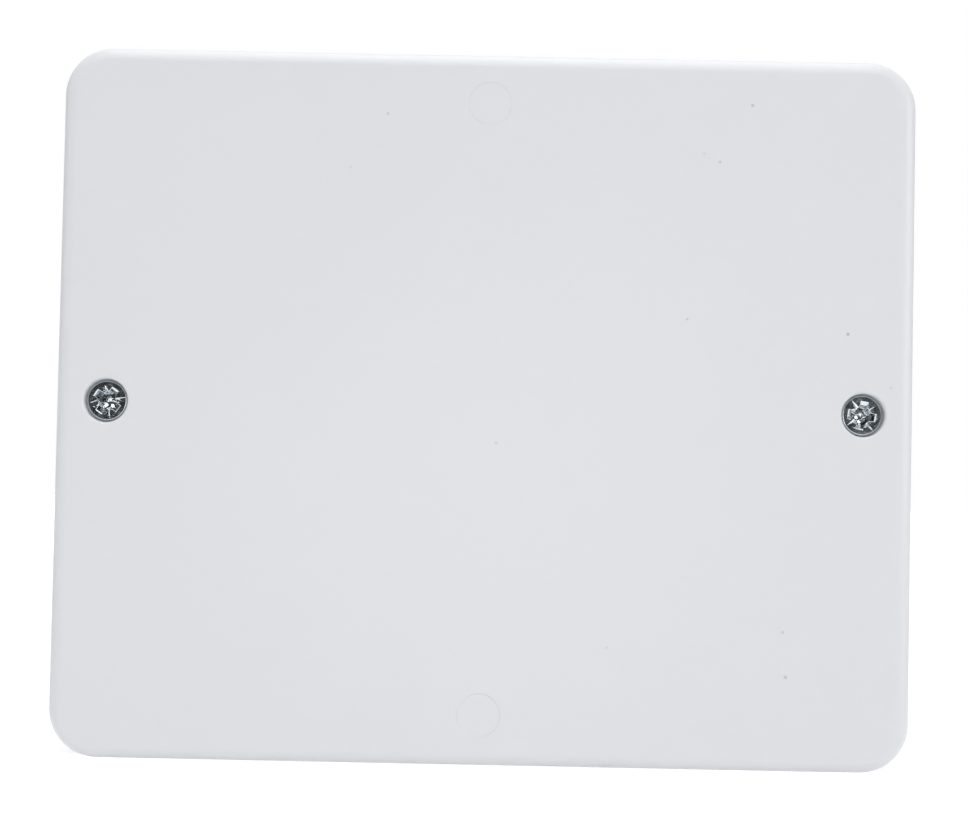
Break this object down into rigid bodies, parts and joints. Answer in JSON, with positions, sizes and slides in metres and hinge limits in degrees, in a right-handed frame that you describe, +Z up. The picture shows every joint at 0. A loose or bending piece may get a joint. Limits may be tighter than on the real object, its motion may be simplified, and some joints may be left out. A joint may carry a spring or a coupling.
{
  "type": "flush back box with cover",
  "caption": "Flush wall box for wiring with knock-outs, closed by a plain rectangular cover that overhangs the wall opening and is held by countersunk cross-recess screws.",
  "frame": {"origin": "centre of the box's flat rear face, which is set against the masonry", "axes": "+X to the right seen from the room, +Y into the wall, +Z up; the cover faces -Y"},
  "size_m": [0.13, 0.055, 0.108],
  "materials": {
    "cover_plastic": "smooth moulded white, satin gloss",
    "box_plastic": "light grey moulded, fine spark-eroded texture",
    "screw_zinc": "bright zinc plate"
  },
  "bodies": {
    "root": {"back_box": "box_plastic", "cover": "cover_plastic", "cover_screw_left": "screw_zinc", "cover_screw_right": "screw_zinc"}
  },
  "joints": []
}
